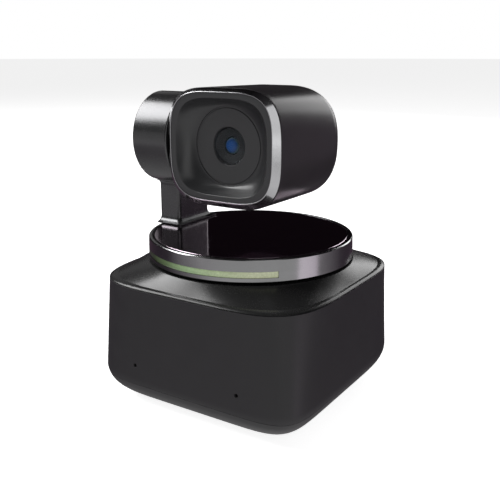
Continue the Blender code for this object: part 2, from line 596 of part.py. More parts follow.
ON_TURNTABLE = ("turntable_skirt", "turntable_deck", "led_light_bar", "led_board", "pan_shaft", "pan_motor_rotor",
                "pan_bearing_inner", "arm_housing", "arm_screw_1", "arm_screw_2", "tilt_housing_cap",
                "tilt_motor_stator", "tilt_bearing_outer")
ON_HEAD = ("tilt_shaft", "tilt_motor_rotor", "tilt_bearing_inner", "tilt_hub_flange", "head_shell", "front_bezel",
           "front_panel", "lens_window", "lens_barrel", "front_lens", "rear_lens", "lens_holder", "image_sensor",
           "sensor_board", "sensor_heat_sink")
for name in ON_TURNTABLE:
    bpy.data.objects[name].parent = pan_axis
for name in ON_HEAD:
    ob = bpy.data.objects[name]
    ob.data.transform(Matrix.Translation((0.0, -TILT_Y * MM, -TILT_Z * MM)))
    ob.parent = tilt_axis
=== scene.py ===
import bpy, bmesh, math
import numpy as np
from mathutils import Vector, Matrix


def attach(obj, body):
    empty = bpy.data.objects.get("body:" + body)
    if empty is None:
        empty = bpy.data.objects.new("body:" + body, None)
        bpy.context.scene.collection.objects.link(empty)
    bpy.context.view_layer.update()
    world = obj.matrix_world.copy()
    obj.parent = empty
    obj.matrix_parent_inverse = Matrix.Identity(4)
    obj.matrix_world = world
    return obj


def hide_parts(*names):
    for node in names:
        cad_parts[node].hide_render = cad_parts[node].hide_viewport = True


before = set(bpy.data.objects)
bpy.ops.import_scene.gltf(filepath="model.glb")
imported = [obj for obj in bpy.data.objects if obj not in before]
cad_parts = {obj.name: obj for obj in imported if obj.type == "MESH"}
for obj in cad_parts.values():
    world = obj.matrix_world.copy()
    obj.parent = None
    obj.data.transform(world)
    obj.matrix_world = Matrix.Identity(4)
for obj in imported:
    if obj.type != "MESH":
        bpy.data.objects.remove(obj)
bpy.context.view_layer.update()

MM = 0.001
scene = bpy.context.scene

# =====================================================================
# camera
# =====================================================================
cam_data = bpy.data.cameras.new("camera")
cam_data.sensor_width = 36.0
cam_data.lens = 51.74
cam_data.clip_start = 0.01
cam = bpy.data.objects.new("camera", cam_data)
cam.location = (0.078524, -0.121779, 0.069886)
cam.rotation_euler = (math.radians(90 - 15.5758), 0.0, math.radians(32.8822))
scene.collection.objects.link(cam)
scene.camera = cam
scene.view_settings.view_transform = 'Standard'
scene.view_settings.look = 'None'
scene.view_settings.exposure = 0.0
scene.view_settings.gamma = 1.0

# =====================================================================
# sizes in millimetres, the same as the CAD part
# =====================================================================
BASE_HALF, BASE_TOP_HALF, BASE_Z0, BASE_FILLET, SEAM_Z = 23.7, 24.23, 0.4, 6.5, 5.1
WALL_TOP, BEVEL_TOP, BEVEL_IN, WALL_T = 25.6, 26.1, 0.99, 1.7
COVER_Z, COVER_R, COVER_HOLE_R = 28.55, 21.2, 9.2
MIC_X, MIC_Z, MIC_R, USB_Z = 12.1, 9.4, 0.35, 11.1
TURN_R, TURN_Z0, TURN_Z1 = 20.98, 28.9, 33.5
LED_Z0, LED_Z1, LED_HALF_DEG = 30.0, 31.1, 46.6
DECK_R = 19.9
TILT_Y, TILT_Z = -1.7, 52.2
HOUS_R, HOUS_X0, HOUS_X1 = 9.4, -21.75, -12.9
ARM_X0, ARM_X1, ARM_Y0, ARM_Y1 = -21.73, -16.3, -3.05, 7.62
ARM_Z0, ARM_CORNER, ARM_FLARE = 33.8, 0.8, 1.35
HEAD_LEFT0, HEAD_LEFT1, HEAD_RIGHT0, HEAD_RIGHT1 = -12.26, -12.4, 13.58, 14.95
HEAD_DROP0, HEAD_DROP1 = 0.28, 0.45
HEAD_HALFH0, HEAD_HALFH1, HEAD_EXP0, HEAD_EXP1 = 11.25, 11.24, 3.25, 2.5
HEAD_YF, HEAD_YS, HEAD_YR, HEAD_RR = -12.05, -10.9, 7.7, 5.3
LENS_X, CZ = 0.66, 52.15
SEAM = 0.05                       # half width of the fine seams
TRAY_SEAM = 0.028


# =====================================================================
# mesh tools: everything is a loft of rows of points, one row per section
# =====================================================================
def polar(a, b, k, m, n):
    """Rounded rectangle read at n equal angles; corner size k, exponent m."""
    k = min(k, a - 1e-3, b - 1e-3)
    t = 2 * np.pi * np.arange(n) / n
    c, s = np.cos(t), np.sin(t)
    lo, hi = np.zeros(n), np.full(n, 2.0 * (a + b))
    for _ in range(46):
        mid = 0.5 * (lo + hi)
        du = np.maximum(np.abs(mid * c) - (a - k), 0.0) / k
        dv = np.maximum(np.abs(mid * s) - (b - k), 0.0) / k
        ins = (du ** m + dv ** m) ** (1.0 / m) <= 1.0
        lo = np.where(ins, mid, lo)
        hi = np.where(ins, hi, mid)
    return np.stack([lo * c, lo * s], 1)


def circ(r, n):
    t = 2 * np.pi * np.arange(n) / n
    return np.stack([r * np.cos(t), r * np.sin(t)], 1)


def at_z(uv, z, cx=0.0, cy=0.0):
    return np.stack([uv[:, 0] + cx, uv[:, 1] + cy, np.full(len(uv), z)], 1)


def at_y(uv, y, cx=LENS_X, cz=CZ):
    return np.stack([uv[:, 0] + cx, np.full(len(uv), y), uv[:, 1] + cz], 1)


def at_x(uv, x, cy=TILT_Y, cz=TILT_Z):
    return np.stack([np.full(len(uv), x), uv[:, 0] + cy, uv[:, 1] + cz], 1)


def soften(rows, radii, seg=5, closed=True):
    """Rounds the sections' corners down every column with an arc of the given radius."""
    out, n = [], len(rows)
    for k in range(n):
        r = radii[k]
        if r <= 0 or (not closed and k in (0, n - 1)):
            out.append(rows[k])
            continue
        b = rows[k]
        a, c = rows[(k - 1) % n], rows[(k + 1) % n]
        u, v = a - b, c - b
        lu, lv = np.linalg.norm(u, axis=1), np.linalg.norm(v, axis=1)
        u, v = u / lu[:, None], v / lv[:, None]
        ang = np.arccos(np.clip((u * v).sum(1), -0.99999, 0.99999))
        d = np.minimum(r / np.tan(ang / 2), 0.46 * np.minimum(lu, lv))
        rr = d * np.tan(ang / 2)
        w = u + v
        w = w / np.maximum(np.linalg.norm(w, axis=1), 1e-9)[:, None]
        cen = b + w * (rr / np.sin(ang / 2))[:, None]
        p0 = b + u * d[:, None] - cen
        sweep = np.pi - ang
        q = v - u * (u * v).sum(1)[:, None]
        q = q / np.maximum(np.linalg.norm(q, axis=1), 1e-9)[:, None]
        e0 = p0 / np.maximum(np.linalg.norm(p0, axis=1), 1e-12)[:, None]
        for i in range(seg + 1):
            t = sweep * i / seg
            out.append(cen + rr[:, None] * (e0 * np.cos(t)[:, None] - u * np.sin(t)[:, None]))
    return out


def between(a, b, n):
    return [a + (b - a) * i / n for i in range(1, n)]


def skin(bm, rows, loop=False, caps=True, flip=False):
    vs = [[bm.verts.new(p * MM) for p in r] for r in rows]
    n = len(rows[0])
    last = len(rows) if loop else len(rows) - 1
    for i in range(last):
        a, b = vs[i], vs[(i + 1) % len(vs)]
        for j in range(n):
            k = (j + 1) % n
            bm.faces.new((a[j], a[k], b[k], b[j]))
    if caps and not loop:
        bm.faces.new(vs[0])
        bm.faces.new(list(reversed(vs[-1])))


def done(name, bm, mat, body, stands_for=(), sharp=40, weighted=True):
    bmesh.ops.recalc_face_normals(bm, faces=bm.faces[:])
    me = bpy.data.meshes.new(name)
    bm.to_mesh(me)
    bm.free()
    ob = bpy.data.objects.new(name, me)
    scene.collection.objects.link(ob)
    shade(ob, mat, sharp, weighted)
    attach(ob, body)
    if stands_for:
        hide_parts(*stands_for)
    return ob


def shade(ob, mat, sharp, weighted):
    me = ob.data
    me.materials.clear()
    me.materials.append(mat)
    for p in me.polygons:
        p.use_smooth = True
        p.material_index = 0
    me.set_sharp_from_angle(angle=math.radians(sharp))
    if weighted:
        w = ob.modifiers.new("weighted", 'WEIGHTED_NORMAL')
        w.keep_sharp = True
        w.weight = 60


def carve(ob, bm, op='DIFFERENCE', mat=None, sharp=40):
    """One exact boolean with the solid in bm; the helper is removed."""
    bmesh.ops.recalc_face_normals(bm, faces=bm.faces[:])
    me = bpy.data.meshes.new("helper")
    bm.to_mesh(me)
    bm.free()
    tool = bpy.data.objects.new("helper", me)
    scene.collection.objects.link(tool)
    kept = [m for m in ob.modifiers]
    for m in kept:
        ob.modifiers.remove(m)
    mod = ob.modifiers.new("b", 'BOOLEAN')
    mod.operation = op
    mod.solver = 'EXACT'
    mod.object = tool
    bpy.context.view_layer.update()
    new = bpy.data.meshes.new_from_object(ob.evaluated_get(bpy.context.evaluated_depsgraph_get()))
    ob.modifiers.clear()
    ob.data = new
    bpy.data.objects.remove(tool, do_unlink=True)
    shade(ob, mat or new.materials[0], sharp, True)
    return ob


def turned(bm, prof, radii=None, n=96, axis='z', cx=0.0, cy=0.0, seg=4, loop=True):
    """Turned section of (radius, height), its corners softened."""
    place = {'z': lambda r, h: at_z(circ(r, n), h, cx, cy),
             'x': lambda r, h: at_x(circ(r, n), h, cx, cy),
             'y': lambda r, h: at_y(circ(r, n), h, cx, cy)}[axis]
    rows = [place(r, h) for r, h in prof]
    if radii:
        rows = soften(rows, radii, seg, closed=loop)
    skin(bm, rows, loop=loop)


def box_rows(x0, x1, y0, y1, z0, z1):
    return [np.array([(x0, y0, z), (x1, y0, z), (x1, y1, z), (x0, y1, z)], float) for z in (z0, z1)]


# =====================================================================
# materials
# =====================================================================
def srgb(v):
    v = v / 255.0
    return v / 12.92 if v <= 0.04045 else ((v + 0.055) / 1.055) ** 2.4


class Mat:
    """Small builder for procedural materials."""
    def __init__(self, name, metallic=0.0, specular=0.5, coat=0.0, coat_rough=0.05, ior=1.5, aniso=0.0):
        self.m = bpy.data.materials.new(name)
        self.m.use_nodes = True
        self.t = self.m.node_tree
        self.b = self.t.nodes["Principled BSDF"]
        self.b.inputs["Metallic"].default_value = metallic
        self.b.inputs["Specular IOR Level"].default_value = specular
        self.b.inputs["Coat Weight"].default_value = coat
        self.b.inputs["Coat Roughness"].default_value = coat_rough
        self.b.inputs["IOR"].default_value = ior
        self.b.inputs["Anisotropic"].default_value = aniso
        self.co = self.node("ShaderNodeTexCoord").outputs["Object"]

    def node(self, kind, **kw):
        n = self.t.nodes.new(kind)
        for k, v in kw.items():
            setattr(n, k, v)
        return n

    def link(self, a, b):
        self.t.links.new(a, b)

    def stretched(self, sx, sy, sz):
        mp = self.node("ShaderNodeMapping")
        mp.inputs["Scale"].default_value = (sx, sy, sz)
        self.link(self.co, mp.inputs["Vector"])
        return mp.outputs["Vector"]

    def noise(self, scale, detail=4.0, rough=0.55, vec=None, dist=0.0):
        n = self.node("ShaderNodeTexNoise")
        n.inputs["Scale"].default_value = scale
        n.inputs["Detail"].default_value = detail
        n.inputs["Roughness"].default_value = rough
        n.inputs["Distortion"].default_value = dist
        self.link(vec or self.co, n.inputs["Vector"])
        return n.outputs["Fac"]

    def voronoi(self, scale, feature='F1', vec=None, out="Distance"):
        n = self.node("ShaderNodeTexVoronoi", feature=feature)
        n.inputs["Scale"].default_value = scale
        self.link(vec or self.co, n.inputs["Vector"])
        return n.outputs[out]

    def span(self, fac, a, b, lo=0.3, hi=0.7):
        n = self.node("ShaderNodeMapRange")
        n.inputs["From Min"].default_value = lo
        n.inputs["From Max"].default_value = hi
        n.inputs["To Min"].default_value = a
        n.inputs["To Max"].default_value = b
        self.link(fac, n.inputs["Value"])
        return n.outputs["Result"]

    def ramp(self, fac, stops, mode='LINEAR'):
        n = self.node("ShaderNodeValToRGB")
        n.color_ramp.interpolation = mode
        e = n.color_ramp.elements
        while len(e) < len(stops):
            e.new(0.5)
        for el, (p, c) in zip(e, stops):
            el.position = p
            el.color = (*c, 1.0)
        self.link(fac, n.inputs["Fac"])
        return n.outputs["Color"]

    def mix(self, fac, a, b, mode='MIX'):
        n = self.node("ShaderNodeMix", data_type='RGBA', blend_type=mode)
        for sock, val in ((n.inputs[0], fac), (n.inputs[6], a), (n.inputs[7], b)):
            if isinstance(val, (int, float)):
                sock.default_value = val
            elif isinstance(val, tuple):
                sock.default_value = (*val, 1.0)
            else:
                self.link(val, sock)
        return n.outputs[2]

    def math(self, op, a, b=None):
        n = self.node("ShaderNodeMath", operation=op)
        for i, v in enumerate((a, b)):
            if v is None:
                continue
            if isinstance(v, (int, float)):
                n.inputs[i].default_value = v
            else:
                self.link(v, n.inputs[i])
        return n.outputs[0]

    def base(self, col):
        if isinstance(col, tuple):
            self.b.inputs["Base Color"].default_value = (*col, 1.0)
        else:
            self.link(col, self.b.inputs["Base Color"])
        return self

    def rough(self, v):
        if isinstance(v, (int, float)):
            self.b.inputs["Roughness"].default_value = v
        else:
            self.link(v, self.b.inputs["Roughness"])
        return self

    def bump(self, height, strength, dist):
        n = self.node("ShaderNodeBump")
        n.inputs["Strength"].default_value = strength
        n.inputs["Distance"].default_value = dist
        self.link(height, n.inputs["Height"])
        if self.b.inputs["Normal"].is_linked:
            self.link(self.b.inputs["Normal"].links[0].from_socket, n.inputs["Normal"])
        self.link(n.outputs["Normal"], self.b.inputs["Normal"])
        return self


def tone(c, f):
    return tuple(x * f for x in c)


def plastic(name, col, r0, r1, grain_scale, grain, specular=0.5, coat=0.0, coat_rough=0.08, metallic=0.0, vary=0.16,
            cloud=260.0):
    """Moulded or painted plastic: spark-eroded grain, cloudy gloss, slight shade drift and specks of dust."""
    m = Mat(name, metallic, specular, coat, coat_rough)
    broad = m.noise(cloud, 5.0, 0.6)
    fine = m.noise(grain_scale, 3.0, 0.7)
    m.base(m.mix(m.span(fine, 0.0, 0.35), m.ramp(broad, [(0.3, tone(col, 1 - vary)), (0.7, tone(col, 1 + vary))]),
                 tone(col, 1 + 2.2 * vary)))
    m.rough(m.math('ADD', m.span(broad, r0, r1), m.span(fine, -0.03, 0.03)))
    m.bump(fine, grain, 0.00002)
    cells = m.voronoi(grain_scale * 0.8)
    m.bump(cells, grain * 0.5, 0.00002)
    return m.m


def brushed(name, col, r0, r1, vec_scale, metallic=1.0, vary=0.12, strength=0.15):
    """Machined or drawn metal: fine lines along one direction, cloudy tarnish."""
    m = Mat(name, metallic, 0.5)
    lines = m.noise(1.0, 6.0, 0.7, m.stretched(*vec_scale))
    broad = m.noise(420.0, 4.0)
    m.base(m.mix(m.span(broad, 0.0, 0.7), m.ramp(lines, [(0.3, tone(col, 1 - vary)), (0.7, tone(col, 1 + vary))]),
                 tone(col, 1 - 1.6 * vary)))
    m.rough(m.math('ADD', m.span(lines, r0, r1), m.span(broad, -0.04, 0.05)))
    m.bump(lines, strength, 0.00001)
    return m.m


MAT = {}
MAT["base"] = plastic("matte_base", (0.0218, 0.0207, 0.0228), 0.42, 0.48, 9000.0, 0.06, specular=0.40, vary=0.08)
MAT["cover"] = plastic("gloss_cover", (0.020, 0.020, 0.0202), 0.24, 0.28, 4000.0, 0.005, specular=0.31, vary=0.06)
MAT["ring"] = plastic("satin_ring", (0.26, 0.26, 0.263), 0.15, 0.19, 4000.0, 0.004, specular=0.5, metallic=1.0, vary=0.05)
MAT["deck"] = plastic("gloss_deck", (0.48, 0.40, 0.46), 0.06, 0.1, 3000.0, 0.002, specular=0.5, metallic=1.0, vary=0.06)
MAT["arm"] = plastic("satin_arm", (0.084, 0.084, 0.086), 0.23, 0.27, 6000.0, 0.008, specular=0.5, metallic=0.8, vary=0.06)
MAT["head"] = plastic("satin_head", (0.029, 0.0255, 0.0285), 0.3, 0.34, 6000.0, 0.01, specular=0.40, metallic=0.18, vary=0.08)
MAT["bezel"] = plastic("polished_bezel", (0.45, 0.45, 0.46), 0.13, 0.17, 5000.0, 0.01, specular=0.5, metallic=1.0, vary=0.06)
MAT["panel"] = plastic("matte_panel", (0.028, 0.0285, 0.03), 0.3, 0.35, 9000.0, 0.02, specular=0.55, vary=0.08)
MAT["rubber"] = plastic("foot_rubber", (0.012, 0.012, 0.012), 0.7, 0.85, 5000.0, 0.4, specular=0.3)
MAT["barrel"] = plastic("barrel_black", (0.014, 0.0142, 0.0145), 0.5, 0.6, 8000.0, 0.08, specular=0.2)
MAT["steel"] = brushed("drawn_steel", (0.46, 0.46, 0.47), 0.25, 0.4, (900.0, 900.0, 14000.0))
MAT["brass"] = brushed("nickel_brass", (0.52, 0.47, 0.37), 0.22, 0.36, (12000.0, 12000.0, 1500.0))
MAT["alu"] = brushed("milled_aluminium", (0.5, 0.51, 0.52), 0.34, 0.48, (1200.0, 16000.0, 1200.0))
MAT["chip"] = plastic("chip_black", (0.02, 0.02, 0.021), 0.32, 0.42, 5000.0, 0.05)


def make_board():
    m = Mat("circuit_board", 0.0, 0.5, 0.25, 0.2)
    bricks = m.node("ShaderNodeTexBrick")
    bricks.inputs["Scale"].default_value = 900.0
    bricks.inputs["Mortar Size"].default_value = 0.03
    bricks.inputs["Color1"].default_value = (0.006, 0.055, 0.03, 1)
    bricks.inputs["Color2"].default_value = (0.008, 0.07, 0.036, 1)
    bricks.inputs["Mortar"].default_value = (0.02, 0.14, 0.07, 1)
    m.link(m.co, bricks.inputs["Vector"])
    pads = m.span(m.voronoi(700.0), 1.0, 0.0, 0.1, 0.14)
    fine = m.noise(5000.0)
    m.base(m.mix(pads, bricks.outputs["Color"], (0.55, 0.5, 0.38)))
    m.rough(m.span(fine, 0.32, 0.5))
    m.bump(bricks.outputs["Fac"], 0.3, 0.00003)
    return m.m


def make_winding():
    m = Mat("enamelled_winding", 0.9, 0.5, 0.4, 0.1)
    w = m.node("ShaderNodeTexWave", wave_type='BANDS', bands_direction='DIAGONAL')
    w.inputs["Scale"].default_value = 1500.0
    w.inputs["Distortion"].default_value = 0.6
    m.link(m.co, w.inputs["Vector"])
    m.base(m.ramp(w.outputs["Fac"], [(0.0, (0.12, 0.035, 0.012)), (0.6, (0.5, 0.2, 0.08))]))
    m.rough(m.span(m.noise(4000.0), 0.24, 0.4))
    m.bump(w.outputs["Fac"], 0.7, 0.00008)
    return m.m


MAT["board"] = make_board()
MAT["winding"] = make_winding()


def make_light_bar():
    """Diffuser: pale yellow at the end near +X, green in the middle, fading out at the far end."""
    m = Mat("light_bar_diffuser", 0.0, 0.5, 0.3, 0.2)
    sep = m.node("ShaderNodeSeparateXYZ")
    m.link(m.co, sep.inputs[0])
    along = m.node("ShaderNodeMapRange")
    along.inputs["From Min"].default_value = -0.0151
    along.inputs["From Max"].default_value = 0.0151
    m.link(sep.outputs["X"], along.inputs["Value"])
    col = m.ramp(along.outputs["Result"], [(0.0, (0.008, 0.01, 0.007)), (0.12, (0.014, 0.02, 0.009)), (0.3, (0.07, 0.105, 0.045)),
                                           (0.5, (0.24, 0.34, 0.18)), (0.7, (0.36, 0.43, 0.26)),
                                           (0.88, (0.46, 0.49, 0.33)), (1.0, (0.44, 0.47, 0.31))])
    fine = m.noise(2600.0, 4.0)
    col = m.mix(m.span(fine, 0.0, 0.25), col, (0.02, 0.03, 0.015))
    m.base(col)
    m.link(col, m.b.inputs["Emission Color"])
    m.b.inputs["Emission Strength"].default_value = 0.55
    m.rough(m.span(fine, 0.3, 0.42))
    m.bump(fine, 0.05, 0.00002)
    return m.m


MAT["light"] = make_light_bar()


def make_glass(name, tint, rough=0.005, ior=1.5):
    m = Mat(name, 0.0, 0.5, 0.0, 0.03, ior)
    m.b.inputs["Transmission Weight"].default_value = 1.0
    broad = m.noise(900.0, 3.0)
    m.base(m.ramp(broad, [(0.3, tone(tint, 0.96)), (0.7, tint)]))
    m.rough(m.span(broad, rough, rough + 0.01))
    m.bump(broad, 0.004, 0.00001)
    return m.m


def make_coated():
    """Front element: dark glass given a painted glow (emission) in place of the coating's reflection: blue in the
    middle, violet and green at the rim.
    """
    m = Mat("coated_front_element", 0.0, 0.2, 0.12, 0.03, 1.5)
    sep = m.node("ShaderNodeSeparateXYZ")
    m.link(m.co, sep.inputs[0])
    u = m.math('MULTIPLY', m.math('SUBTRACT', sep.outputs["X"], LENS_X * MM), 1000.0)
    v = m.math('MULTIPLY', m.math('SUBTRACT', sep.outputs["Z"], CZ * MM), 1000.0)
    r = m.math('SQRT', m.math('ADD', m.math('MULTIPLY', u, u), m.math('MULTIPLY', v, v)))
    col = m.ramp(m.math('MULTIPLY', r, 0.6), [(0.0, (0.003, 0.035, 0.13)), (0.5, (0.003, 0.03, 0.115)),
                                              (0.74, (0.005, 0.02, 0.06)), (0.86, (0.016, 0.03, 0.024)),
                                              (1.0, (0.012, 0.012, 0.014))])
    fine = m.noise(1500.0, 3.0)
    col = m.mix(m.span(fine, 0.0, 0.2), col, (0.002, 0.02, 0.07))
    m.base(col)
    # painted reflection: the coating's tints are drawn as emission, though this glass is no lamp
    m.link(col, m.b.inputs["Emission Color"])
    m.b.inputs["Emission Strength"].default_value = 0.42
    m.rough(m.span(fine, 0.06, 0.1))
    m.bump(fine, 0.01, 0.00001)
    return m.m


MAT["glass"] = make_glass("lens_glass", (0.9, 0.95, 1.0))
MAT["window"] = make_glass("window_glass_coated", (0.86, 0.9, 0.94), 0.0, 1.16)
MAT["coated"] = make_coated()

# =====================================================================
# base
# =====================================================================
NB = 192


def base_uv(z, inset=0.0, n=NB):
    h = z - BASE_Z0
    bottom = 0.0
    if h < BASE_FILLET:
        q = (BASE_FILLET - h) / BASE_FILLET
        bottom = BASE_FILLET * (1.0 - math.sqrt(max(0.0, 1.0 - q * q)))
    f = min(1.0, max(0.0, (h - BASE_FILLET) / (WALL_TOP - BASE_Z0 - BASE_FILLET)))
    a0, a1 = BASE_HALF - bottom - inset, BASE_TOP_HALF - inset
    low = polar(a0, a0, max(23.4 - bottom - inset, 4.0), 7.5, n)
    return low * (1 - f) + polar(a1, a1, 21.8 - inset, 3.89, n) * f


zs = [SEAM_Z + TRAY_SEAM, 5.7, 6.2, 6.8, 9.0, 12.0, 15.0, 18.0, 21.0, 23.5, WALL_TOP - SEAM]
rows = [at_z(base_uv(z), z) for z in zs]
rad = [0.03] + [0] * (len(zs) - 2) + [0.06]
inner = [at_z(base_uv(z, WALL_T), z) for z in (WALL_TOP - SEAM, 15.0, 6.8, SEAM_Z + TRAY_SEAM)]
bm = bmesh.new()
skin(bm, soften(rows + inner, rad + [0] * 4), loop=True)
wall = done("base_wall", bm, MAT["base"], "base", ["base_shell"])
bm = bmesh.new()
for sx in (-1, 1):
    # pin hole with a small countersunk lip
    for prof in ([(MIC_R + 0.16, -23.9), (MIC_R + 0.03, -23.6), (MIC_R, -23.5), (MIC_R, -21.0)],):
        skin(bm, [at_y(circ(r, 24), y, sx * MIC_X, MIC_Z) for r, y in prof])
slot_rows = [at_y(polar(4.8 + d, 1.95 + d, 1.9 + d, 2.0, 64), y, 0.0, USB_Z)
             for d, y in ((0.0, 20.5), (0.0, 23.35), (0.06, 23.5), (0.3, 23.75), (0.3, 24.5))]
skin(bm, slot_rows)
carve(wall, bm, mat=MAT["base"])

tz = [BASE_Z0 + 6.4 * (1 - math.cos(math.radians(a))) for a in (0, 4, 8, 12, 16, 21, 26, 31, 36, 41, 46, 51, 56, 61, 66)]
tz = [z for z in tz if z < SEAM_Z - TRAY_SEAM - 0.05] + [SEAM_Z - TRAY_SEAM]
rows = [at_z(base_uv(max(z, BASE_Z0 + 1e-4)), z) for z in tz]
top = SEAM_Z - TRAY_SEAM
inner = [at_z(base_uv(top, WALL_T), top), at_z(base_uv(3.4, WALL_T), 3.4), at_z(base_uv(2.3, WALL_T + 0.6), 2.3)]
bm = bmesh.new()
skin(bm, soften(rows + inner, [0] * (len(rows) - 1) + [0.03, 0, 0, 0], closed=False))
tray = done("base_tray_skin", bm, MAT["base"], "base", ["base_tray"])
PAD_A, PAD_K, SCREW_P = 15.6, 9.0, 12.2
bm = bmesh.new()
skin(bm, [at_z(polar(PAD_A + 0.12, PAD_A + 0.12, PAD_K, 2.2, 96), z) for z in (-1.0, 1.1)])
carve(tray, bm, mat=MAT["base"])
bm = bmesh.new()
skin(bm, [at_z(circ(5.75, 64), z) for z in (-1.0, 6.0)])
for sx in (-1, 1):
    for sy in (-1, 1):
        skin(bm, [at_z(circ(r, 32), z, sx * SCREW_P, sy * SCREW_P) for r, z in ((2.1, 0.5), (2.1, 2.1), (1.2, 2.7), (1.2, 6.0))])
carve(tray, bm, mat=MAT["base"])

# foot pad: soft edge, three ring grooves cut into the underside, hole for the tripod insert
bm = bmesh.new()
skin(bm, soften([at_z(polar(PAD_A, PAD_A, PAD_K, 2.2, 96), 0.0), at_z(polar(PAD_A, PAD_A, PAD_K, 2.2, 96), 0.8),
                 at_z(circ(7.6, 96), 0.8), at_z(circ(7.6, 96), 0.0)], [0.2, 0.1, 0.1, 0.2]), loop=True)
pad = done("foot_pad_moulded", bm, MAT["rubber"], "base", ["foot_pad"])
bm = bmesh.new()
for r_g in (9.6, 11.6, 13.6):
    rows = []
    prof = [(r_g - 0.28, -0.3), (r_g + 0.28, -0.3), (r_g + 0.2, 0.22), (r_g - 0.2, 0.22)]
    skin(bm, [at_z(circ(r, 96), z) for r, z in prof], loop=True)
carve(pad, bm, mat=MAT["rubber"])

# top cover: bevel strip, slope to the round seat, flat ring, hole, lip inside the wall
NC = 192


def cover_mix(t, z):
    sq = polar(BASE_TOP_HALF - BEVEL_IN, BASE_TOP_HALF - BEVEL_IN, 21.33, 3.58, NC)
    return at_z(sq * (1 - t) + circ(COVER_R, NC) * t, z)


C0, C1 = WALL_TOP + SEAM, BEVEL_TOP + 0.05
edge, ledge = at_z(base_uv(WALL_TOP, 0.0, NC), C0), cover_mix(0.0, C1)
rows, rad = [], []
for q, w in ((0.0, 0.0), (0.03, 0.16), (0.12, 0.36), (0.25, 0.56), (0.40, 0.74), (0.60, 0.87), (1.0, 1.0)):
    r = edge + (ledge - edge) * q              # a steep bevel that rolls over into a narrow ledge
    r[:, 2] = C0 + (C1 - C0) * w
    rows.append(r)
    rad.append(0)
rad[-1] = 0.10
for t in (0.12, 0.25, 0.4, 0.55, 0.7, 0.85, 0.95):
    rows.append(cover_mix(t, C1 + (COVER_Z - C1) * t))
    rad.append(0)
rows.append(cover_mix(1.0, COVER_Z))
rad.append(0.12)
rows += [at_z(circ(19.0, NC), COVER_Z), at_z(circ(COVER_HOLE_R, NC), COVER_Z), at_z(circ(COVER_HOLE_R, NC), 26.9),
         at_z(circ(19.2, NC), 26.9), at_z(base_uv(WALL_TOP, WALL_T + 0.9 + 0.1, NC), C0),
         at_z(base_uv(WALL_TOP, WALL_T + 1.0, NC), 24.3), at_z(base_uv(WALL_TOP, WALL_T + 0.1, NC), 24.3),
         at_z(base_uv(WALL_TOP, WALL_T + 0.1, NC), C0)]
rad += [0, 0.1, 0, 0, 0, 0, 0, 0]
bm = bmesh.new()
skin(bm, soften(rows, rad), loop=True)
cover = done("top_cover", bm, MAT["cover"], "base", ["base_top_cover"])

# =====================================================================
# turntable
# =====================================================================
NT = 192
prof = [(8.6, TURN_Z0), (20.8, TURN_Z0), (21.05, 29.2), (21.05, 31.0), (TURN_R, 33.28), (20.82, TURN_Z1),
        (20.05, TURN_Z1), (20.0, 32.2), (18.6, 32.2), (18.6, 30.1), (8.6, 30.1)]
bm = bmesh.new()
turned(bm, prof, [0, 0.12, 0.2, 0.4, 0.12, 0.1, 0.06, 0, 0, 0, 0], NT, seg=6)
ring = done("turntable_ring", bm, MAT["ring"], "turntable", ["turntable_skirt"])


def arc_rows(r0, r1, z0, z1, a0, a1, n, bulge=0.0):
    rows = []
    for i in range(n + 1):
        t = math.radians(a0 + (a1 - a0) * i / n)
        s, c = math.sin(t), -math.cos(t)
        zm = 0.5 * (z0 + z1)
        pts = [(r0, z0), (r1 - 0.06, z0), (r1, z0 + 0.07), (r1 + bulge, zm), (r1, z1 - 0.07), (r1 - 0.06, z1), (r0, z1)]
        rows.append(np.array([(r * s, r * c, z) for r, z in pts]))
    return rows


bm = bmesh.new()
skin(bm, arc_rows(19.3, 21.6, LED_Z0 - 0.06, LED_Z1 + 0.06, -LED_HALF_DEG - 0.2, LED_HALF_DEG + 0.2, 96))
carve(ring, bm, mat=MAT["ring"])
bm = bmesh.new()
for x, y in ((-17.9, -0.7), (-17.9, 4.4)):
    skin(bm, [at_z(circ(1.6, 24), z, x, y) for z in (30.2, 33.0)])
carve(ring, bm, mat=MAT["ring"])

bm = bmesh.new()
skin(bm, arc_rows(20.05, 20.97, LED_Z0, LED_Z1, -LED_HALF_DEG, LED_HALF_DEG, 96, 0.02))
bar = done("light_bar", bm, MAT["light"], "turntable", ["led_light_bar"])

bm = bmesh.new()
turned(bm, [(6.9, 31.0), (6.9, 32.5), (DECK_R, 32.5), (DECK_R, TURN_Z1), (12.0, TURN_Z1), (4.0, TURN_Z1), (1.0, TURN_Z1)],
       [0, 0, 0.05, 0.12, 0, 0, 0], NT, loop=False)
deck = done("turntable_disc", bm, MAT["deck"], "turntable", ["turntable_deck"])
bm = bmesh.new()
for x, y in ((-17.9, -0.7), (-17.9, 4.4)):
    skin(bm, [at_z(circ(1.0, 24), z, x, y) for z in (30.0, 35.0)])
carve(deck, bm, mat=MAT["deck"])

